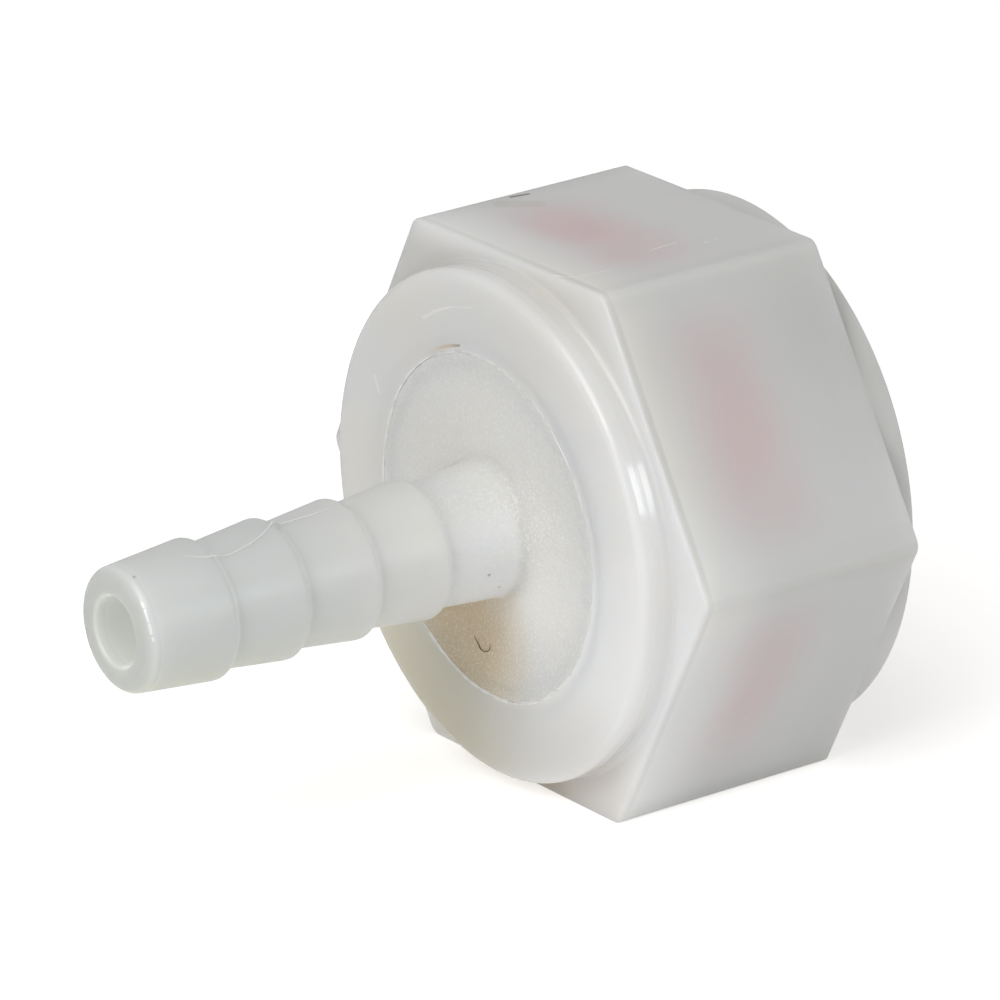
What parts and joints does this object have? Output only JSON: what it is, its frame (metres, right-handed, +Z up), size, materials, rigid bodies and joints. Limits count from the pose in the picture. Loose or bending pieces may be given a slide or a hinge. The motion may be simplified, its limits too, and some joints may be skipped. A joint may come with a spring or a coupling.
{
  "type": "swivel hose barb",
  "caption": "Plastic hose adaptor: a hexagonal swivel nut with an internal hose thread and a flat seal, turning freely on the hub of a barbed stem with a through bore.",
  "frame": {"origin": "centre of the nut's open mouth, on the fitting's axis", "axes": "+X out of the nut's mouth, the way the hose is unscrewed; the barb points to -X; +Z up, with one flat of the hexagon below and one on top"},
  "size_m": [0.0436, 0.0364, 0.0318],
  "materials": {
    "nut_plastic": "undyed milky plastic, satin, slightly see-through at thin walls, with glossy rims",
    "stem_plastic": "undyed milky plastic, satin, with a frosted hub face and a thin moulding line",
    "washer_rubber": "dull red rubber"
  },
  "bodies": {
    "nut": {"swivel_nut": "nut_plastic", "sealing_washer": "washer_rubber"},
    "stem": {"barb_stem": "stem_plastic"}
  },
  "joints": [
    {"name": "nut_swivel", "type": "hinge", "parent": "nut", "child": "stem", "pos_m": [-0.0167, 0, 0], "axis": [1, 0, 0], "continuous": true}
  ]
}
